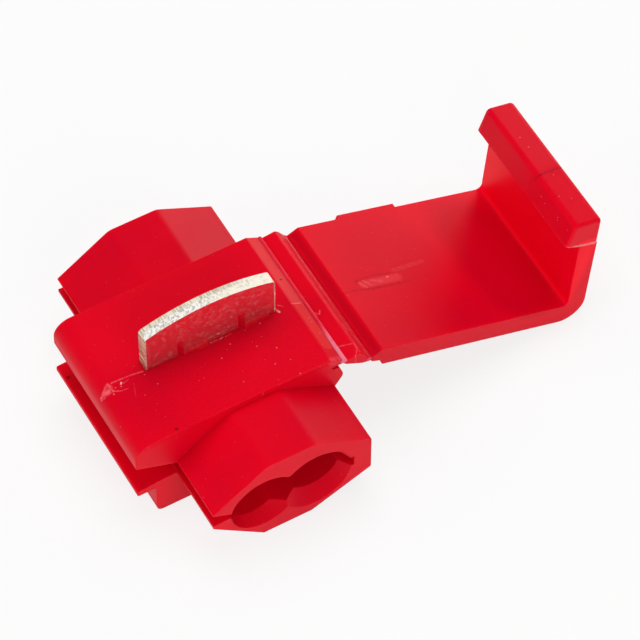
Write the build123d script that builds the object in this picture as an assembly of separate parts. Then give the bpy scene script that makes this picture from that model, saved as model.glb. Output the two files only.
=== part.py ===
from build123d import *
from math import asin, atan2, cos, degrees, hypot, radians, sin, tan
import os

os.makedirs("parts", exist_ok=True)

# A run-and-tap splice connector with its cover open, in millimetres.
# X runs across the two wire channels, from the jaws to the hinge.
# Y runs along the wires, from the front mouth to the rear.
# Z is up, and Z 0 is the plane that the flat base rests on.
# The origin is under the middle of the band that carries the contact.

# Sizes of the band, the block round the contact
band_length = 10.8
band_top = 7.6
strip_inset = 0.3
band_left = 8.25
band_corner_radius = 1.2
jaw_lip_height = 5.6
jaw_corner_share = 0.6
ledge_top = 3.1
ledge_thickness = 0.5
ledge_reach = 1.3
block_side = 5.7
block_corner_radius = 0.45
edge_radius = 0.15

# Sizes of the tube that the wires lie in
tube_front_reach = 4.65
tube_rear_reach = 5.05
tube_top = 7.15
tube_flat_half = 1.7
tube_top_radius = 0.9
tube_left = 5.47
tube_upper_lip = 4.55
tube_lower_lip = 3.1
lip_rounding = 0.3
tube_right = 5.66
tube_shoulder = 4.9
tube_hip = 1.85
foot_left = 1.95
foot_right = 1.45

# Sizes of the wire channels
channel_spacing = 4.25
run_channel_x = -2.35
run_channel_z = 3.5
run_channel_radius = 1.85
tap_channel_z = 3.5
tap_channel_radius = 1.9
tap_stop_thickness = 3.0
septum_bottom = 2.1
septum_top = 4.97
septum_corner_radius = 0.4
septum_rear_length = 3.5
throat_gap = 0.2
throat_overlap = 0.4
mouth_depth = 0.8
run_mouth_radius = 2.3
run_mouth_shift = 0.5
run_mouth_drop = 0.15
tap_mouth_radius = 2.5
tap_mouth_shift = -0.15
tap_mouth_drop = 0.3
mouth_relief_reach = 0.65
mouth_relief_drop = 0.11
mouth_relief_height = 0.9
mouth_relief_depth = 3.0

# Sizes of the rounded rib beside the hinge
rib_reach = 0.65
rib_top = 6.5
rib_bottom = 4.6
rib_groove = 0.2
rib_top_radius = 0.2

# Sizes of the double living hinge
strip_thickness = 0.85
web_thickness = 0.36
hinge_gap = 0.02
strip_end_gap = 0.11
inner_hinge_drop = 0.68
link_length = 2.12
link_droop = 30.7
link_closed_angle = 111
link_ridge_height = 0.58
link_ridge_start = 0.95
link_ridge_width = 0.33
link_ridge_fall = 0.05
link_ridge_radius = 0.2
link_back_depth = 0.3
link_back_start = 0.4
link_back_width = 1.35
link_neck = 0.12

# Sizes of the cover, measured from the outer hinge along the plate and square to it
plate_inner = 0.68
plate_thickness = 1.5
plate_flank_start = 0.2
plate_flank_rise = 0.14
plate_flank_end = 0.78
plate_root_depth = 0.3
plate_root_fall = 0.1
plate_root_end = 1.05
plate_root_step = 0.2
wall_thickness = 1.3
wall_lean = 14.3
wall_root_radius = 0.4
corner_radius = 1.5
ledge_clearance = 0.06
catch_play = 0.3
nose_clearance = 0.05
hook_height = 2.1
hook_nose_rise = 0.2
hook_crown_rise = 0.2
hook_corner_radius = 0.35
hook_front_step = 0.08
hook_end_radius = 0.25
gate_start = 4.0
gate_length = 4.4
gate_reach = 0.3
gate_thickness = 0.7

# Sizes of the contact blade
blade_left = 4.8
blade_right = 4.3
blade_thickness = 0.85
blade_y = 0.025
blade_end_rise = 3.05
blade_crown_rise = 3.85
blade_corner_radius = 0.35
blade_tip_above_channel = 0.15
wire_slot_width = 0.5
wire_slot_rise = 1.35
wire_slot_flare = 1.2
wire_slot_flare_height = 0.7
blade_clearance = 0.06
blade_floor_clearance = 0.15
slot_relief_length = 1.9
slot_relief_reach = 0.16
slot_relief_depth = 1.0

# Places that follow from the sizes
band_right = block_side - strip_inset
band_front = -band_length / 2
band_rear = band_length / 2
tube_front = band_front - tube_front_reach
tube_rear = band_rear + tube_rear_reach
tap_channel_x = run_channel_x + channel_spacing
tap_end = tube_rear - tap_stop_thickness
throat_x = run_channel_x - run_channel_radius + throat_overlap
throat_z = run_channel_z
inner_hinge_x = block_side + rib_reach
inner_hinge_z = band_top - inner_hinge_drop
outer_hinge_x = inner_hinge_x + link_length * cos(radians(link_droop))
outer_hinge_z = inner_hinge_z - link_length * sin(radians(link_droop))
web_radius = web_thickness / 2
cup_radius = web_radius + hinge_gap
plate_outer = plate_inner - plate_thickness
lean = tan(radians(wall_lean))
wall_offset = wall_thickness / cos(radians(wall_lean))

# With the cover shut, its wall clears the ledge, and its hook lies behind and below it
closed_hinge_x = inner_hinge_x + link_length * cos(radians(link_closed_angle))
closed_hinge_z = inner_hinge_z + link_length * sin(radians(link_closed_angle))
ledge_bottom = ledge_top - ledge_thickness
ledge_depth = closed_hinge_z - ledge_bottom
plate_reach = closed_hinge_x + band_left + ledge_clearance + (ledge_depth - plate_inner) * lean
catch = ledge_depth + catch_play
nose_reach = closed_hinge_x + band_left - ledge_reach + nose_clearance


def wall_at(height):
    """Reach of the wall's inner face at a height above the outer hinge."""
    return plate_reach - (height - plate_inner) * lean


# The raised contact clears the top of both channels, and its crown ends flush
channel_top = max(run_channel_z + run_channel_radius, tap_channel_z + tap_channel_radius)
blade_tip = channel_top + blade_tip_above_channel
blade_travel = blade_crown_rise

# The open cover rests on its rounded corner, in the plane of the base
corner_t = plate_outer + corner_radius
corner_s = wall_at(corner_t) + wall_offset - corner_radius / cos(radians(wall_lean))
corner_distance = hypot(corner_s, corner_t)
corner_drop = outer_hinge_z - corner_radius
cover_droop = degrees(asin(corner_drop / corner_distance) + atan2(corner_t, corner_s))


def outline(corners):
    """Face from corners given as (across, up, radius)."""
    points = [(x, z) for x, z, radius in corners]
    radii = [radius for x, z, radius in corners]
    return make_face(FilletPolyline(*points, radius=radii, close=True))


def prism(face, front, rear, pivot=(0, 0), droop=0):
    """Solid along Y with a face drawn in X and Z about a pivot, drooping to the right."""
    turn = radians(droop)
    plane = Plane(
        origin=(pivot[0], rear, pivot[1]),
        x_dir=(cos(turn), 0, -sin(turn)),
        z_dir=(0, -1, 0),
    )
    return extrude(plane * face, rear - front)


def channel(x, z, radius, front, rear):
    """Round channel along Y."""
    return prism(Pos(x, z) * Circle(radius), front, rear)


def band_face():
    """Section of the band: upper jaw, wedge mouth, ledge, block and rib."""
    left = -band_left
    block_left = left + ledge_reach
    side = block_side
    jaw_corner = min(band_corner_radius, (band_top - jaw_lip_height) * jaw_corner_share)
    rib_middle = (rib_top + rib_bottom) / 2
    return outline(
        [
            (left, band_top, jaw_corner),
            (band_right, band_top, 0),
            (band_right, rib_top + rib_groove, 0),
            (band_right + edge_radius, rib_top + rib_groove, 0),
            (band_right + edge_radius, rib_top, 0),
            (side + rib_reach / 2, rib_top, rib_top_radius),
            (inner_hinge_x, rib_middle, rib_reach),
            (side, rib_bottom, 0),
            (side, 0, block_corner_radius),
            (block_left, 0, block_corner_radius),
            (block_left, ledge_bottom, edge_radius),
            (left, ledge_bottom, edge_radius),
            (left, ledge_top, edge_radius),
            (throat_x, throat_z - throat_gap / 2, 0),
            (throat_x, throat_z + throat_gap / 2, 0),
            (left, jaw_lip_height, edge_radius),
        ]
    )


def tube_face():
    """Eight-sided section of the tube."""
    return outline(
        [
            (-tube_flat_half, tube_top, tube_top_radius),
            (tube_flat_half, tube_top, tube_top_radius),
            (tube_right, tube_shoulder, edge_radius),
            (tube_right, tube_hip, edge_radius),
            (foot_right, 0, 0),
            (-foot_left, 0, 0),
            (-tube_left, tube_lower_lip, edge_radius),
            (-tube_left, tube_upper_lip, edge_radius),
        ]
    )


def tube_wedge():
    """Wedge between the lips of the tube, where the run wire is pushed in."""
    return outline(
        [
            (-tube_left - edge_radius, tube_lower_lip + lip_rounding, 0),
            (throat_x, throat_z - throat_gap / 2, 0),
            (throat_x, throat_z + throat_gap / 2, 0),
            (-tube_left - edge_radius, tube_upper_lip, 0),
        ]
    )


def mouth(x, z, radius, shift, drop, mouth_radius):
    """Flare of a channel at the front, which opens sideways and down."""
    plane = Plane(origin=(x, tube_front, z), x_dir=(1, 0, 0), z_dir=(0, -1, 0))
    wide = plane * Pos(shift, -drop) * Circle(mouth_radius)
    narrow = plane * Pos(0, 0, -mouth_depth) * Circle(radius)
    return loft([narrow, wide])


def hinge_strip():
    """Strip that thins down to the inner living hinge."""
    end_x = inner_hinge_x - strip_end_gap
    face = outline(
        [
            (band_right - edge_radius, band_top, 0),
            (band_right, band_top, 0),
            (end_x, inner_hinge_z + web_radius, 0),
            (end_x, inner_hinge_z - web_radius, 0),
            (end_x - web_radius, band_top - strip_thickness, 0),
            (band_right - edge_radius, band_top - strip_thickness, 0),
        ]
    )
    face -= Pos(inner_hinge_x, inner_hinge_z) * Circle(cup_radius)
    return prism(face, band_front, band_rear)


def make_housing():
    """Body with both wire channels, the jaws and the slot for the contact."""
    body = prism(tube_face() - tube_wedge(), tube_front, tube_rear)
    body += prism(band_face(), band_front, band_rear)
    body += hinge_strip()

    # The run channel goes right through, and the tap channel ends at a stop
    body -= channel(run_channel_x, run_channel_z, run_channel_radius, tube_front, tube_rear)
    body -= channel(tap_channel_x, tap_channel_z, tap_channel_radius, tube_front, tap_end)

    # The septum between them is low up to its rear end, under a roof that is a flat arch
    septum = Pos((run_channel_x + tap_channel_x) / 2, (septum_bottom + septum_top) / 2)
    opening = RectangleRounded(channel_spacing, septum_top - septum_bottom, septum_corner_radius)
    body -= prism(septum * opening, tube_front, tap_end - septum_rear_length)

    # Both front mouths flare, and the tap's has a small relief on its outer side
    body -= mouth(
        run_channel_x, run_channel_z, run_channel_radius,
        run_mouth_shift, run_mouth_drop, run_mouth_radius,
    )
    body -= mouth(
        tap_channel_x, tap_channel_z, tap_channel_radius,
        tap_mouth_shift, tap_mouth_drop, tap_mouth_radius,
    )
    relief_width = tap_channel_radius + mouth_relief_reach
    relief_place = Pos(tap_channel_x + relief_width / 2, tap_channel_z - mouth_relief_drop)
    mouth_relief = relief_place * Rectangle(relief_width, mouth_relief_height)
    body -= prism(mouth_relief, tube_front, tube_front + mouth_relief_depth)

    # Slot for the contact, down to where its tips end when it is pressed home
    slot_left = -blade_left - blade_clearance
    slot_right = blade_right + blade_clearance
    slot_floor = blade_tip - blade_travel - blade_floor_clearance
    slot_width = blade_thickness + 2 * blade_clearance
    slot_middle = Pos((slot_left + slot_right) / 2, (band_top + slot_floor) / 2)
    slot = slot_middle * Rectangle(slot_right - slot_left, band_top - slot_floor)
    slot_front = blade_y - slot_width / 2
    body -= prism(slot, slot_front, slot_front + slot_width)

    # In front of each wire slot the mould leaves a shallow relief beside the contact
    slot_relief = Rectangle(slot_relief_length, slot_relief_depth)
    for x in (run_channel_x, tap_channel_x):
        middle = Pos(x + slot_relief_length / 2, band_top - slot_relief_depth / 2)
        body -= prism(middle * slot_relief, slot_front - slot_relief_reach, slot_front)
    return body


def make_link():
    """Bar between the two living hinges, with a web rolled at each edge."""
    ridge_end = link_ridge_start + link_ridge_width
    face = outline(
        [
            (0, -web_radius, 0),
            (web_radius, 0, 0),
            (link_ridge_start, link_ridge_height, link_ridge_radius),
            (ridge_end, link_ridge_height - link_ridge_fall, link_ridge_radius),
            (link_length - link_neck, web_radius, 0),
            (link_length, web_radius, 0),
            (link_length, -web_radius, 0),
            (link_back_start + link_back_width, -link_back_depth, 0),
            (link_back_start, -link_back_depth, 0),
        ]
    )
    face += Circle(web_radius)
    face += Pos(link_length, 0) * Circle(web_radius)
    return prism(face, band_front, band_rear, (inner_hinge_x, inner_hinge_z), link_droop)


def make_cover():
    """Plate with a leaning wall and the hook that catches under the ledge."""
    nose = catch + hook_nose_rise
    crown = catch + hook_height
    crown_outer = wall_at(crown) + wall_offset
    face = outline(
        [
            (0, 0, 0),
            (plate_flank_start, plate_flank_rise, 0),
            (plate_flank_end, plate_inner, edge_radius),
            (plate_reach, plate_inner, wall_root_radius),
            (wall_at(catch), catch, 0),
            (nose_reach, nose, 0),
            (nose_reach, crown, hook_corner_radius),
            (crown_outer, crown + hook_crown_rise, hook_corner_radius),
            (wall_at(plate_outer) + wall_offset, plate_outer, corner_radius),
            (plate_root_end + plate_root_step, plate_outer, edge_radius),
            (plate_root_end, -plate_root_depth - plate_root_fall, 0),
            (plate_root_depth, -plate_root_depth, 0),
        ]
    )
    face -= Circle(cup_radius)
    pivot = (outer_hinge_x, outer_hinge_z)
    cover = prism(face, band_front, band_rear, pivot, cover_droop)

    # The slide that forms the hook leaves it proud of the wall at the front, with round ends
    above_catch = Pos(plate_reach, catch + plate_reach / 2) * Rectangle(2 * plate_reach, plate_reach)
    cover -= prism(above_catch, band_front, band_rear, pivot, cover_droop)
    hook = prism(face & above_catch, band_front - hook_front_step, band_rear, pivot, cover_droop)
    turn = radians(cover_droop)
    away_from_plate = Axis((outer_hinge_x, 0, outer_hinge_z), (sin(turn), 0, cos(turn)))
    ends = hook.faces().sort_by(Axis.Y)
    edges = ends[0].edges() + ends[-1].edges()
    rounded = edges.filter_by_position(away_from_plate, nose, crown + hook_crown_rise)
    cover += fillet(rounded, hook_end_radius)

    # What is left of the gate stands off the rear edge of the plate
    gate_middle = Pos(gate_start + gate_length / 2, plate_inner - gate_thickness / 2)
    gate = gate_middle * Rectangle(gate_length, gate_thickness)
    cover += prism(gate, band_rear - gate_reach, band_rear + gate_reach, pivot, cover_droop)
    return cover


def make_blade():
    """Flat contact with an arched top and a slot for each conductor."""
    left = -blade_left
    right = blade_right
    end_top = band_top + blade_end_rise
    crown = (left + right) / 2, band_top + blade_crown_rise
    edges = Polyline((left, end_top), (left, blade_tip), (right, blade_tip), (right, end_top))
    edges += ThreePointArc((right, end_top), crown, (left, end_top))
    face = make_face(edges)
    top_corners = face.vertices().group_by(Axis.Y)[-1]
    face = fillet(top_corners, blade_corner_radius)
    slot_top = band_top + wire_slot_rise
    half = wire_slot_width / 2
    flare = wire_slot_flare / 2
    round_z = slot_top - half
    slot = Rectangle(wire_slot_width, round_z - blade_tip)
    for x in (run_channel_x, tap_channel_x):
        face -= Pos(x, (round_z + blade_tip) / 2) * slot
        face -= Pos(x, round_z) * Circle(half)
        face -= outline(
            [
                (x - flare, blade_tip, 0),
                (x + flare, blade_tip, 0),
                (x + half, blade_tip + wire_slot_flare_height, 0),
                (x - half, blade_tip + wire_slot_flare_height, 0),
            ]
        )
    return prism(face, blade_y - blade_thickness / 2, blade_y + blade_thickness / 2)


export_step(make_housing(), "parts/housing.step")
export_step(make_link(), "parts/hinge_link.step")
export_step(make_cover(), "parts/cover.step")
export_step(make_blade(), "parts/contact_blade.step")
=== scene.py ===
import math

import bpy
from mathutils import Matrix, Vector

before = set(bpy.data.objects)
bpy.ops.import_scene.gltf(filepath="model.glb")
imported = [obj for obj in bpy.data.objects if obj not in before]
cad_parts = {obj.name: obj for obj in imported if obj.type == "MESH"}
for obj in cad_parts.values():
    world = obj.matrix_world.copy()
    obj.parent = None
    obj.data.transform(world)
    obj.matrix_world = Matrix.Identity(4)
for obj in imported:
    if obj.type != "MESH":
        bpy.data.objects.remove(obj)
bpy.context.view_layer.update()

MM = 0.001

# Places on the connector in millimetres, in the same frame as the solids
band_top = 7.6
band_front = -5.4
inner_hinge = (6.35, 6.92)
outer_hinge = (8.173, 5.838)
cover_droop = math.radians(19.22)
insert_line_y = -0.45
insert_step = 0.02
slope_middle_x = 5.86
slope_front_y = -4.1
blade_middle_x = -0.25
blade_middle_y = 0.025
blade_end = 4.55
slot_half_length = 4.65
slot_half_width = 0.65

# A stroke is full over this share of its reach. Its group fades out over a short height,
# a stroke narrower than broad_mark is patchy, and relief_scale turns its relief into height.
stroke_core = 0.45
group_fade = 0.1
broad_mark = 0.36
relief_scale = 3

# Settings that many shader nodes share
TIMES = {"operation": "MULTIPLY"}
PLUS = {"operation": "ADD"}
COLOURS = {"data_type": "RGBA"}
SOFT = {"interpolation_type": "SMOOTHSTEP"}


def linear(hex_colour):
    """An sRGB hex colour as the linear RGBA that a shader socket takes."""
    channels = [int(hex_colour[i:i + 2], 16) / 255 for i in (1, 3, 5)]
    values = [c / 12.92 if c <= 0.04045 else ((c + 0.055) / 1.055) ** 2.4 for c in channels]
    return (*values, 1.0)


def add(tree, kind, settings, inputs, output=0):
    """Add a shader node, feed its inputs from sockets or plain values, give one output."""
    node = tree.nodes.new("ShaderNode" + kind)
    for name, value in settings.items():
        setattr(node, name, value)
    for key, value in inputs.items():
        if isinstance(value, bpy.types.NodeSocket):
            tree.links.new(value, node.inputs[key])
        else:
            node.inputs[key].default_value = value
    return None if output is None else node.outputs[output]


def new_material(name):
    """A material with an empty tree."""
    material = bpy.data.materials.new(name)
    material.use_nodes = True
    material.node_tree.nodes.clear()
    return material, material.node_tree


# Marks on the moulding. A stroke is start, end, reach to each side, strength, colour and
# relief, in millimetres along and across the piece; a group lies between two heights.
# A spot is a stroke 0.01 mm long.

housing_marks = (
    # A scrape on the rounded end of the band, with tails towards the blade
    ((6.9, 8.2), (
        ((-7.62, -0.56), (-7.42, -0.46), 0.32, 0.75, "#EE5C68", 0.2),
        ((-8.15, -0.68), (-7.5, -0.6), 0.16, 0.65, "#F06C76", 0.3),
        ((-8.2, -0.68), (-7.4, -0.17), 0.09, 0.4, "#F07C84", 0.4),
        ((-7.9, -0.78), (-7.3, -0.8), 0.1, 0.4, "#F0707A", 0.3),
        ((-7.33, -0.12), (-7.28, -0.8), 0.07, 0.35, "#F28A90", 0.3),
        ((-7.12, -0.23), (-6.36, -0.26), 0.07, 0.55, "#F07078", 0.4),
        ((-6.36, -0.26), (-5.87, -0.28), 0.05, 0.45, "#F07078", 0.3),
        ((-5.87, -0.28), (-5.03, -0.41), 0.06, 0.5, "#F07880", 0.4),
        ((-7.29, -0.82), (-6.91, -1.03), 0.06, 0.5, "#F07078", 0.4),
        ((-6.91, -1.03), (-6.37, -1.08), 0.04, 0.4, "#F07078", 0.3),
        ((-6.64, -0.58), (-6.58, -0.5), 0.07, 0.8, "#FFC8C8", 0.4),
        ((-6.5, -0.6), (-6.1, -0.5), 0.05, 0.4, "#F07078", 0.3),
        ((-5.94, -0.93), (-6.26, -1.79), 0.05, 0.3, "#EA5060", 0.2),
        ((-8.22, -0.72), (-8.3, -1.15), 0.04, 0.5, "#EA5060", 0.2),
        # The line between the mould's two inserts, sunk a hair, and chips along it
        ((-4.9, insert_line_y), (5.3, insert_line_y), 0.04, 0.35, "#B4061C", -0.4),
        ((-1.2, -0.62), (0.4, -0.62), 0.05, 0.45, "#EE5A66", 0.3),
        ((2.2, -0.62), (3.6, -0.58), 0.04, 0.5, "#EE5A66", 0.3),
        ((-0.4, -0.56), (0.05, -0.54), 0.04, 0.5, "#F07880", 0.2),
        ((0.3, -0.6), (0.48, -0.56), 0.06, 0.7, "#F49A9A", 0.2),
        ((0.62, -0.64), (1.05, -0.56), 0.04, 0.5, "#F07880", 0.2),
        ((4.35, -0.4), (4.45, -0.62), 0.1, 0.7, "#F4B0A8", 0.6),
        ((4.6, -0.1), (4.85, -0.35), 0.04, 0.5, "#F08080", 0.3),
        ((5.45, -0.42), (6.1, -0.42), 0.05, 0.6, "#F29090", 0.4),
        # Skin torn where the front of the strip meets the inner groove
        ((5.5, -5.3), (6.45, -5.2), 0.24, 0.35, "#F05A70", 0.1),
        # Flecks of burnt resin, the last on the ledge
        ((-5.26, -5.17), (-5.25, -5.17), 0.13, 1.0, "#4A1014", 0.0),
        ((5.85, 1.67), (5.86, 1.67), 0.11, 1.0, "#5A1014", 0.0),
    )),
    ((2.6, 3.6), (((-8.0, 4.26), (-7.99, 4.26), 0.16, 1.0, "#4A1014", 0.0),)),
)

link_marks = (
    ((5.6, 8.0), (
        # Fine shavings that cling to the bar
        ((6.5, -4.2), (7.57, -4.56), 0.045, 0.6, "#F27078", 0.4),
        ((7.57, -4.56), (7.55, -4.96), 0.045, 0.6, "#F27078", 0.4),
        ((7.55, -4.96), (6.94, -5.67), 0.045, 0.5, "#F27078", 0.4),
        ((6.61, -1.31), (6.81, -1.54), 0.055, 0.5, "#F07078", 0.4),
        ((6.81, -1.54), (6.95, -1.3), 0.055, 0.5, "#F07078", 0.4),
        ((7.74, -2.8), (7.8, -3.35), 0.06, 0.5, "#F08078", 0.4),
        # The inserts' line goes on across the bar
        ((6.5, insert_line_y), (8.1, insert_line_y - 0.05), 0.035, 0.5, "#B4061C", -0.4),
        # Stress lines beside the outer groove
        ((7.93, 5.2), (7.93, -0.15), 0.1, 0.55, "#EA4650", 0.2),
        ((7.86, -0.6), (7.92, -5.2), 0.07, 0.45, "#EA4650", 0.2),
        ((8.17, 5.2), (8.14, -0.5), 0.05, 0.8, "#F28090", 0.3),
        ((8.07, -0.6), (8.14, -5.3), 0.045, 0.7, "#F27078", 0.3),
    )),
)

# The cover's strokes are real marks, and some of them are painted shade and painted light
cover_marks_and_painted_light = (
    ((0.2, 0.84), (
        # Stress lines beside the outer groove
        ((0.0, 5.2), (-0.03, -0.5), 0.05, 0.8, "#F28090", 0.3),
        ((-0.08, -0.6), (0.0, -5.3), 0.045, 0.7, "#F27078", 0.3),
        # Painted shade: the plate is darkened towards the wall's foot, and the flank beside the
        # groove is darkened too
        ((12.4, 2.4), (12.8, -3.2), 3.4, 0.34, "#A80018", 0.0),
        ((0.32, 5.4), (0.32, -5.4), 0.5, 0.5, "#B00018", 0.0),
        # The mark that the gate's insert left on the plate, its sunk outline darkened as painted
        # shade, with smears inside it
        ((0.75, -0.5), (1.79, -0.49), 0.1, 0.7, "#B40018", -0.2),
        ((1.79, -0.49), (2.91, -0.66), 0.1, 0.7, "#B40018", -0.2),
        ((2.91, -0.66), (4.98, -0.66), 0.11, 0.75, "#B40018", -0.2),
        ((4.98, -0.66), (5.9, -0.7), 0.12, 0.35, "#B80018", -0.1),
        ((2.1, 0.2), (2.59, 0.32), 0.11, 0.65, "#B40018", -0.2),
        ((2.59, 0.32), (3.68, 0.41), 0.09, 0.5, "#B80018", -0.15),
        ((3.68, 0.41), (4.63, 0.27), 0.09, 0.65, "#B40018", -0.2),
        ((4.63, 0.27), (6.12, 0.48), 0.09, 0.4, "#B80018", -0.1),
        ((2.1, 0.2), (2.25, -0.1), 0.1, 0.6, "#B40018", -0.2),
        ((5.43, 0.16), (5.42, -0.3), 0.1, 0.35, "#C00018", -0.1),
        ((5.42, -0.3), (5.0, -0.6), 0.1, 0.35, "#C00018", -0.1),
        ((2.5, -0.15), (5.2, -0.15), 0.4, 0.3, "#F25058", 0.0),
        ((2.3, 0.02), (2.6, -0.4), 0.14, 0.35, "#F4666C", 0.2),
        ((2.66, 0.12), (3.0, -0.36), 0.12, 0.35, "#F4666C", 0.2),
        ((3.15, 0.05), (3.9, -0.2), 0.13, 0.3, "#F4666C", 0.2),
        ((2.5, 0.1), (2.8, -0.4), 0.08, 0.4, "#C00018", -0.1),
        ((3.0, 0.1), (3.5, -0.35), 0.08, 0.35, "#C00018", -0.1),
        ((4.45, 0.03), (4.5, 0.03), 0.08, 0.7, "#F69A90", 0.2),
        ((5.2, 0.42), (7.6, 0.66), 0.22, 0.3, "#F25058", 0.1),
    )),
    # Painted light: the wall's inner face is painted a brighter red, right down to its foot
    ((0.74, 7.2), (((14.5, 5.4), (14.5, -4.9), 1.3, 0.95, "#FE0020", 0.0),)),
    # The mould's insert line across the hook's top, and specks beside it
    ((8.2, 9.3), (
        ((12.3, -0.82), (12.8, -0.86), 0.11, 0.6, "#B80820", -0.2),
        ((12.8, -0.86), (14.9, -0.7), 0.12, 0.8, "#A80820", -0.25),
        ((12.1, -0.75), (12.3, -0.7), 0.08, 0.6, "#F07078", 0.3),
        ((12.5, 5.2), (12.5, -5.0), 0.08, 0.35, "#B80020", -0.1),
        ((13.4, 1.5), (13.41, 1.5), 0.08, 0.6, "#F28080", 0.4),
        ((13.3, 2.4), (13.31, 2.4), 0.07, 0.6, "#F28080", 0.4),
    )),
    # Flash along the hook's lower edges
    ((6.5, 6.86), (
        ((12.3, -5.5), (15.3, -5.5), 0.3, 0.6, "#F4A0A0", 0.3),
        ((12.6, -1.0), (12.6, -5.2), 0.16, 0.4, "#F07078", 0.2),
    )),
)


def draw_marks(tree, marks, lie, broken, colour, relief):
    """Lay every stroke over a colour and a relief, and give both."""
    level = add(tree, "SeparateXYZ", {}, {0: lie}, 2)
    plan = add(tree, "VectorMath", TIMES, {0: lie, 1: (1.0, 1.0, 0.0)})
    for (low, top), strokes in marks:
        above = add(tree, "MapRange", SOFT, {
            "Value": level, "From Min": low, "From Max": low + group_fade,
        })
        under = add(tree, "MapRange", SOFT, {
            "Value": level, "From Min": top, "From Max": top - group_fade,
        })
        between = add(tree, "Math", TIMES, {0: above, 1: under})
        patchily = add(tree, "Math", TIMES, {0: between, 1: broken})
        for start, end, reach, strength, hex_colour, rise in strokes:
            start = Vector((*start, 0.0))
            length = Vector((*end, 0.0)) - start
            off = add(tree, "VectorMath", {"operation": "SUBTRACT"}, {0: plan, 1: start})
            share = add(tree, "VectorMath", {"operation": "DOT_PRODUCT"}, {
                0: off, 1: length / length.length_squared,
            }, "Value")
            share = add(tree, "Clamp", {}, {0: share})
            share = add(tree, "VectorMath", {"operation": "SCALE"}, {0: length, "Scale": share})
            off = add(tree, "VectorMath", {"operation": "DISTANCE"}, {0: off, 1: share}, "Value")
            mark = add(tree, "MapRange", SOFT, {
                "Value": off, "From Min": reach * stroke_core, "From Max": reach,
                "To Min": strength, "To Max": 0.0,
            })
            where = patchily if reach < broad_mark else between
            mark = add(tree, "Math", TIMES, {0: mark, 1: where})
            colour = add(tree, "Mix", COLOURS, {0: mark, 6: colour, 7: linear(hex_colour)}, 2)
            if rise:
                relief = add(tree, "Math", {"operation": "MULTIPLY_ADD"}, {
                    0: mark, 1: rise * relief_scale, 2: relief,
                })
    return colour, relief


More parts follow.
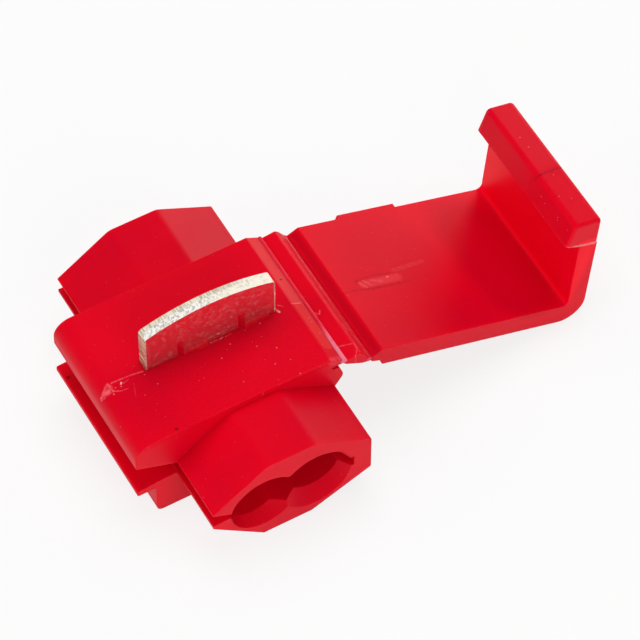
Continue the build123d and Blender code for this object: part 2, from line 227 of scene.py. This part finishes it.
def moulded_polypropylene(name, marks, along=(0, 0, 0), droop=0.0):
    """Red polypropylene from an injection mould: an even, saturated colour under a satin skin.

    It is whitened where it has been bent, and its sharp corners are painted a little paler, partly
    as wear and partly as a painted highlight.
    The marks lie in a frame that starts at along and is turned down by droop.
    """
    material, tree = new_material(name)
    at = add(tree, "TexCoord", {}, {}, "Object")
    place = add(tree, "VectorMath", {"operation": "SCALE"}, {0: at, "Scale": 1 / MM})
    x, y, z = (add(tree, "SeparateXYZ", {}, {0: place}, axis) for axis in (0, 1, 2))

    # The pigment is mixed in, so the red drifts only a little, over several millimetres
    drift = add(tree, "TexNoise", {}, {"Vector": place, "Scale": 0.16, "Detail": 1.0})
    drift = add(tree, "MapRange", SOFT, {"Value": drift, "From Min": 0.35, "From Max": 0.7})
    colour = add(tree, "Mix", COLOURS, {0: drift, 6: linear("#E20020"), 7: linear("#D90021")}, 2)

    # The front half of the band came off a spark-eroded insert: a fine dull grain of 0.12 mm
    front_half = add(tree, "MapRange", SOFT, {
        "Value": y,
        "From Min": insert_line_y + insert_step / 2, "From Max": insert_line_y - insert_step / 2,
    })
    behind_tube = add(tree, "MapRange", SOFT, {
        "Value": y, "From Min": band_front - 0.05, "From Max": band_front,
    })
    high = add(tree, "MapRange", SOFT, {
        "Value": z, "From Min": band_top - 0.6, "From Max": band_top - 0.3,
    })
    on_band = add(tree, "Math", TIMES, {0: front_half, 1: behind_tube})
    on_band = add(tree, "Math", TIMES, {0: on_band, 1: high})
    grain = add(tree, "TexNoise", {}, {
        "Vector": place, "Scale": 8.0, "Detail": 2.0, "Roughness": 0.7,
    })
    grain_dark = add(tree, "MapRange", SOFT, {
        "Value": grain, "From Min": 0.5, "From Max": 0.7, "To Max": 0.26,
    })
    grain_dark = add(tree, "Math", TIMES, {0: grain_dark, 1: on_band})
    colour = add(tree, "Mix", COLOURS, {0: grain_dark, 6: colour, 7: linear("#A80420")}, 2)

    # Specks of dust and pale chips, up to 0.1 mm across, most of them on the front half
    nearest = add(tree, "TexVoronoi", {}, {"Vector": place, "Scale": 3.0}, "Distance")
    chosen = add(tree, "SeparateColor", {}, {0: nearest.node.outputs["Color"]})
    radius = add(tree, "MapRange", SOFT, {
        "Value": chosen, "From Min": 0.5, "From Max": 1.0, "To Max": 0.16,
    })
    speck = add(tree, "Math", {"operation": "LESS_THAN"}, {0: nearest, 1: radius})
    speck_share = add(tree, "MapRange", {}, {"Value": on_band, "To Min": 0.12, "To Max": 0.6})
    speck = add(tree, "Math", TIMES, {0: speck, 1: speck_share})
    colour = add(tree, "Mix", COLOURS, {0: speck, 6: colour, 7: linear("#F29090")}, 2)

    # Plastic that has been bent goes pale: a line 0.35 mm wide along the inner groove, stepped
    # where the two inserts meet, and whiter towards the front
    shift = add(tree, "Math", TIMES, {0: front_half, 1: insert_step})
    groove_x = add(tree, "Math", PLUS, {0: shift, 1: inner_hinge[0]})
    groove = add(tree, "CombineXYZ", {}, {0: groove_x, 1: y, 2: inner_hinge[1]})
    away = add(tree, "VectorMath", {"operation": "DISTANCE"}, {0: place, 1: groove}, "Value")
    pale = add(tree, "MapRange", SOFT, {"Value": y, "From Min": -2.0, "From Max": -4.5})
    reach = add(tree, "Math", {"operation": "MULTIPLY_ADD"}, {0: pale, 1: 0.07, 2: 0.2})
    line = add(tree, "Math", {"operation": "SUBTRACT"}, {0: reach, 1: away})
    line = add(tree, "MapRange", SOFT, {"Value": line, "From Max": 0.08, "To Max": 0.85})
    streak = add(tree, "TexNoise", {}, {"Vector": place, "Scale": 1.3, "Detail": 3.0})
    streak = add(tree, "MapRange", SOFT, {"Value": streak, "From Min": 0.1, "From Max": 0.5})
    line = add(tree, "Math", TIMES, {0: line, 1: streak})
    pale = add(tree, "Mix", COLOURS, {0: pale, 6: linear("#F46C88"), 7: linear("#FA8AA2")}, 2)
    colour = add(tree, "Mix", COLOURS, {0: line, 6: colour, 7: pale}, 2)

    # A fainter one lies in the outer groove
    groove = add(tree, "CombineXYZ", {}, {0: outer_hinge[0], 1: y, 2: outer_hinge[1]})
    away = add(tree, "VectorMath", {"operation": "DISTANCE"}, {0: place, 1: groove}, "Value")
    line = add(tree, "MapRange", SOFT, {
        "Value": away, "From Min": 0.12, "From Max": 0.2, "To Min": 0.5, "To Max": 0.0,
    })
    line = add(tree, "Math", TIMES, {0: line, 1: streak})
    colour = add(tree, "Mix", COLOURS, {0: line, 6: colour, 7: linear("#F87088")}, 2)

    # Painted light: the strip's slope towards the inner groove is painted paler, up to a round end
    in_plan = add(tree, "VectorMath", TIMES, {0: place, 1: (1.0, 1.0, 0.0)})
    spine = add(tree, "Math", {"operation": "MAXIMUM"}, {0: y, 1: slope_front_y})
    spine = add(tree, "CombineXYZ", {}, {0: slope_middle_x, 1: spine, 2: 0.0})
    away = add(tree, "VectorMath", {"operation": "DISTANCE"}, {0: in_plan, 1: spine}, "Value")
    painted_slope_light = add(tree, "MapRange", SOFT, {
        "Value": away, "From Min": 0.3, "From Max": 0.36, "To Min": 0.3, "To Max": 0.0,
    })
    slope_light_height = add(tree, "MapRange", SOFT, {"Value": z, "From Min": 6.9, "From Max": 7.0})
    painted_slope_light = add(tree, "Math", TIMES, {0: painted_slope_light, 1: slope_light_height})
    colour = add(tree, "Mix", COLOURS, {0: painted_slope_light, 6: colour, 7: linear("#F2483E")}, 2)

    # Marks, and on the cover painted shade and painted light, in the piece's own lie
    lie = add(tree, "Mapping", {"vector_type": "TEXTURE"}, {
        "Vector": place, "Location": along, "Rotation": (0.0, droop, 0.0),
    })
    broken = add(tree, "TexNoise", {}, {"Vector": place, "Scale": 5.0, "Detail": 3.0})
    broken = add(tree, "MapRange", SOFT, {
        "Value": broken, "From Min": 0.35, "From Max": 0.6, "To Min": 0.3, "To Max": 1.0,
    })
    relief = add(tree, "Math", TIMES, {0: grain, 1: on_band})
    colour, relief = draw_marks(tree, marks, lie, broken, colour, relief)

    # Sharp corners are painted paler, partly as wear and partly as a painted highlight, seen where
    # the rounded normal leaves the true one
    rounded = add(tree, "Bevel", {"samples": 4}, {"Radius": 0.07 * MM})
    true = add(tree, "NewGeometry", {}, {}, "Normal")
    turn = add(tree, "VectorMath", {"operation": "DOT_PRODUCT"}, {0: rounded, 1: true}, "Value")
    wear_and_painted_highlight = add(tree, "MapRange", SOFT, {"Value": turn, "From Min": 0.98, "From Max": 0.8})
    patchy = add(tree, "TexNoise", {}, {"Vector": place, "Scale": 2.5, "Detail": 3.0})
    patchy = add(tree, "MapRange", SOFT, {
        "Value": patchy, "From Min": 0.4, "From Max": 0.65, "To Max": 0.5,
    })
    wear_and_painted_highlight = add(tree, "Math", TIMES, {0: wear_and_painted_highlight, 1: patchy})
    colour = add(tree, "Mix", COLOURS, {0: wear_and_painted_highlight, 6: colour, 7: linear("#EE4854")}, 2)

    # Skin: satin, with a faint ripple from flow, the insert's grain and the marks' relief
    ripple = add(tree, "TexNoise", {}, {"Vector": place, "Scale": 3.0, "Detail": 3.0})
    height = add(tree, "Math", {"operation": "MULTIPLY_ADD"}, {0: ripple, 1: 0.15, 2: relief})
    height = add(tree, "Math", {"operation": "MULTIPLY_ADD"}, {0: front_half, 1: 0.25, 2: height})
    bump = add(tree, "Bump", {}, {
        "Strength": 0.6, "Distance": 0.012 * MM, "Height": height, "Normal": rounded,
    })
    gloss = add(tree, "TexNoise", {}, {"Vector": place, "Scale": 0.7, "Detail": 2.0})
    roughness = add(tree, "MapRange", {}, {"Value": gloss, "To Min": 0.42, "To Max": 0.52})
    roughness = add(tree, "Math", {"operation": "MULTIPLY_ADD"}, {
        0: on_band, 1: 0.15, 2: roughness,
    })

    # Painted light: a dark red emission inside the narrow slot round the blade, standing in for
    # light through the polypropylene
    along_slot = add(tree, "Math", {"operation": "SUBTRACT"}, {0: x, 1: blade_middle_x})
    along_slot = add(tree, "Math", {"operation": "ABSOLUTE"}, {0: along_slot})
    across_slot = add(tree, "Math", {"operation": "ABSOLUTE"}, {0: y})
    painted_slot_glow = 0.35
    for value, none, full in (
        (along_slot, slot_half_length + 0.1, slot_half_length),
        (across_slot, slot_half_width + 0.1, slot_half_width),
        (z, band_top - 0.01, band_top - 0.1),
        (z, 3.0, 5.0),
    ):
        inside = add(tree, "MapRange", {}, {"Value": value, "From Min": none, "From Max": full})
        painted_slot_glow = add(tree, "Math", TIMES, {0: inside, 1: painted_slot_glow})
    shader = add(tree, "BsdfPrincipled", {}, {
        "Base Color": colour, "Roughness": roughness, "Normal": bump, "IOR": 1.49,
        "Specular IOR Level": 0.12, "Subsurface Weight": 0.5,
        "Subsurface Radius": (1.0, 0.06, 0.04), "Subsurface Scale": 0.8 * MM,
        "Emission Color": linear("#D00020"), "Emission Strength": painted_slot_glow,
    })
    add(tree, "OutputMaterial", {}, {"Surface": shader}, None)
    return material


def tinned_brass():
    """Brass strip with a satin tin plating, its curved edge sheared and torn to bright grains."""
    material, tree = new_material("tin_plated_brass")
    at = add(tree, "TexCoord", {}, {}, "Object")
    place = add(tree, "VectorMath", {"operation": "SCALE"}, {0: at, "Scale": 1 / MM})
    x, y = (add(tree, "SeparateXYZ", {}, {0: place}, axis) for axis in (0, 1))

    # Tin is a pale warm grey, cloudy over a millimetre or so
    cloud = add(tree, "TexNoise", {}, {"Vector": place, "Scale": 1.2, "Detail": 3.0})
    plating = add(tree, "Mix", COLOURS, {0: cloud, 6: linear("#F6F2EE"), 7: linear("#FFFDFA")}, 2)

    # The sheared edge: grains of tin about 0.15 mm, cream towards the right end
    true = add(tree, "NewGeometry", {}, {}, "Normal")
    facing = add(tree, "SeparateXYZ", {}, {0: true}, 2)
    edge = add(tree, "MapRange", SOFT, {"Value": facing, "From Min": 0.15, "From Max": 0.3})
    off_middle = add(tree, "Math", {"operation": "SUBTRACT"}, {0: x, 1: blade_middle_x})
    off_middle = add(tree, "Math", {"operation": "ABSOLUTE"}, {0: off_middle})
    at_end = add(tree, "MapRange", SOFT, {
        "Value": off_middle, "From Min": blade_end - 0.1, "From Max": blade_end - 0.02,
    })
    edge = add(tree, "Math", {"operation": "MAXIMUM"}, {0: edge, 1: at_end})
    grains = add(tree, "TexNoise", {}, {
        "Vector": place, "Scale": 5.0, "Detail": 4.0, "Roughness": 0.75,
    })
    grain_share = add(tree, "MapRange", SOFT, {"Value": grains, "From Min": 0.41, "From Max": 0.55})
    torn = add(tree, "Mix", COLOURS, {
        0: grain_share, 6: linear("#A8A49C"), 7: linear("#FFFFFC"),
    }, 2)
    cream_noise = add(tree, "TexNoise", {}, {"Vector": place, "Scale": 1.6, "Detail": 3.0})
    cream_along = add(tree, "MapRange", SOFT, {
        "Value": x, "From Min": -1.5, "From Max": 2.0, "To Min": 0.25, "To Max": 0.95,
    })
    cream = add(tree, "Math", TIMES, {0: cream_along, 1: cream_noise})
    cream = add(tree, "Math", TIMES, {0: cream, 1: 1.5})
    torn = add(tree, "Mix", COLOURS, {0: cream, 6: torn, 7: linear("#FFF6E0")}, 2)

    # The punch left fine cross lines on the rear half of that edge, about 0.1 mm apart
    across = add(tree, "VectorMath", TIMES, {0: place, 1: (14.0, 0.8, 0.8)})
    lines = add(tree, "TexNoise", {}, {"Vector": across, "Scale": 1.0, "Detail": 1.0})
    lines = add(tree, "MapRange", SOFT, {"Value": lines, "From Min": 0.4, "From Max": 0.6})
    rear = add(tree, "MapRange", SOFT, {
        "Value": y, "From Min": blade_middle_y + 0.05, "From Max": blade_middle_y + 0.2,
    })
    left = add(tree, "MapRange", SOFT, {"Value": x, "From Min": 3.0, "From Max": 1.0})
    rear = add(tree, "Math", TIMES, {0: rear, 1: left})
    lined = add(tree, "Mix", COLOURS, {0: lines, 6: linear("#BFB4A0"), 7: linear("#F4EAD4")}, 2)
    torn = add(tree, "Mix", COLOURS, {0: rear, 6: torn, 7: lined}, 2)

    # The short left and right ends are ribbed, and show more of the brass
    ribs = add(tree, "VectorMath", TIMES, {0: place, 1: (1.0, 1.0, 6.0)})
    ribs = add(tree, "TexNoise", {}, {"Vector": ribs, "Scale": 1.0, "Detail": 2.0})
    ribs = add(tree, "MapRange", SOFT, {"Value": ribs, "From Min": 0.4, "From Max": 0.6})
    ribbed = add(tree, "Mix", COLOURS, {0: ribs, 6: linear("#B06A54"), 7: linear("#F0DCC0")}, 2)
    torn = add(tree, "Mix", COLOURS, {0: at_end, 6: torn, 7: ribbed}, 2)
    colour = add(tree, "Mix", COLOURS, {0: edge, 6: plating, 7: torn}, 2)

    # The flat faces are crinkled by handling, with dull rubs of about 0.2 mm
    crinkle = add(tree, "TexNoise", {}, {"Vector": place, "Scale": 4.0, "Detail": 3.0})
    rub = add(tree, "MapRange", SOFT, {
        "Value": crinkle, "From Min": 0.5, "From Max": 0.7, "To Min": 0.98, "To Max": 0.91,
    })
    height = add(tree, "Math", TIMES, {0: grains, 1: edge})
    height = add(tree, "Math", {"operation": "MULTIPLY_ADD"}, {0: crinkle, 1: 0.06, 2: height})
    bump = add(tree, "Bump", {}, {"Strength": 0.7, "Distance": 0.05 * MM, "Height": height})
    roughness = add(tree, "MapRange", {}, {"Value": edge, "To Min": 0.2, "To Max": 0.5})
    metal = add(tree, "MapRange", {}, {"Value": edge, "To Min": rub, "To Max": 0.08})
    shader = add(tree, "BsdfPrincipled", {}, {
        "Base Color": colour, "Roughness": roughness, "Metallic": metal, "Normal": bump,
    })
    add(tree, "OutputMaterial", {}, {"Surface": shader}, None)
    return material


def white_table():
    """Matt white laminate, which a camera sees as white paper with a soft shadow."""
    material, tree = new_material("white_table_laminate")
    laminate = add(tree, "BsdfPrincipled", {}, {
        "Base Color": linear("#F4F4F4"), "Roughness": 0.9, "Specular IOR Level": 0.1,
    })
    seen = 0.0
    for ray in ("Is Camera Ray", "Is Glossy Ray", "Is Transmission Ray"):
        hit = add(tree, "LightPath", {}, {}, ray)
        seen = add(tree, "Math", {"operation": "MAXIMUM"}, {0: seen, 1: hit})
    share = add(tree, "Math", TIMES, {0: seen, 1: 0.8})
    white = add(tree, "Emission", {}, {"Color": linear("#FFFFFF"), "Strength": 1.0})
    paper = add(tree, "MixShader", {}, {0: share, 1: laminate, 2: white})
    add(tree, "OutputMaterial", {}, {"Surface": paper}, None)
    return material


finishes = {
    "housing": moulded_polypropylene("moulded_polypropylene_body", housing_marks),
    "hinge_link": moulded_polypropylene("moulded_polypropylene_bar", link_marks),
    "cover": moulded_polypropylene(
        "moulded_polypropylene_cover", cover_marks_and_painted_light,
        (outer_hinge[0], 0.0, outer_hinge[1]), cover_droop,
    ),
    "contact_blade": tinned_brass(),
}
for node_name, material in finishes.items():
    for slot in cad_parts[node_name].material_slots:
        slot.material = material


# Table, lamps and camera

table_reach = 400 * MM
table_mesh = bpy.data.meshes.new("table")
table_mesh.from_pydata(
    [
        (-table_reach, -table_reach, 0), (table_reach, -table_reach, 0),
        (table_reach, table_reach, 0), (-table_reach, table_reach, 0),
    ],
    [], [(0, 1, 2, 3)],
)
table_mesh.materials.append(white_table())
table = bpy.data.objects.new("table", table_mesh)
bpy.context.scene.collection.objects.link(table)

# Softboxes: name, direction from the connector, distance and side in millimetres, power in
# watts, and whether the connector mirrors them
connector_middle = Vector((6, 0, 4)) * MM
for lamp_name, toward, distance, side, power, mirrored in (
    ("overhead_softbox", (0.1, 0.25, 0.97), 160, 120, 0.14, False),
    ("front_softbox", (-0.05, -0.9, 0.4), 190, 130, 0.17, False),
    ("left_softbox", (-0.85, 0.1, 0.5), 190, 130, 0.11, False),
    ("rear_card", (0.84, 0.50, 0.15), 170, 105, 0.105, True),
):
    lamp = bpy.data.lights.new(lamp_name, "AREA")
    lamp.shape = "SQUARE"
    lamp.size = side * MM
    lamp.energy = power
    away = Vector(toward).normalized()
    softbox = bpy.data.objects.new(lamp_name, lamp)
    softbox.location = connector_middle + away * distance * MM
    softbox.rotation_euler = (-away).to_track_quat("-Z", "Y").to_euler()
    softbox.visible_glossy = mirrored
    bpy.context.scene.collection.objects.link(softbox)

world = bpy.data.worlds.new("studio")
world.use_nodes = True
world.node_tree.nodes["Background"].inputs["Color"].default_value = linear("#FFFFFF")
world.node_tree.nodes["Background"].inputs["Strength"].default_value = 0.2
bpy.context.scene.world = world

# The camera stands where the photographer's did, found from the connector's own corners
camera_azimuth = math.radians(-29.85)
camera_elevation = math.radians(54.65)
camera_roll = math.radians(0.33)
camera_distance = 250.98
camera_across = 6.81
camera_up = 0.69
aim_base = Vector((0, 0.22, 7.6))
lens_over_frame = 6.3437
sensor_width = 36.0

back = Vector((
    math.sin(camera_azimuth) * math.cos(camera_elevation),
    -math.cos(camera_azimuth) * math.cos(camera_elevation),
    math.sin(camera_elevation),
))
level_right = (-back).cross(Vector((0, 0, 1))).normalized()
level_up = level_right.cross(-back)
right = level_right * math.cos(camera_roll) + level_up * math.sin(camera_roll)
up = level_up * math.cos(camera_roll) - level_right * math.sin(camera_roll)
eye = aim_base + right * camera_across + up * camera_up + back * camera_distance

view = bpy.data.cameras.new("camera")
view.lens = lens_over_frame * sensor_width
view.sensor_width = sensor_width
view.clip_start = 10 * MM
view.clip_end = 5
camera = bpy.data.objects.new("camera", view)
camera.matrix_world = Matrix((
    (right.x, up.x, back.x, eye.x * MM),
    (right.y, up.y, back.y, eye.y * MM),
    (right.z, up.z, back.z, eye.z * MM),
    (0, 0, 0, 1),
))
bpy.context.scene.collection.objects.link(camera)
bpy.context.scene.camera = camera
bpy.context.scene.view_settings.view_transform = "Standard"
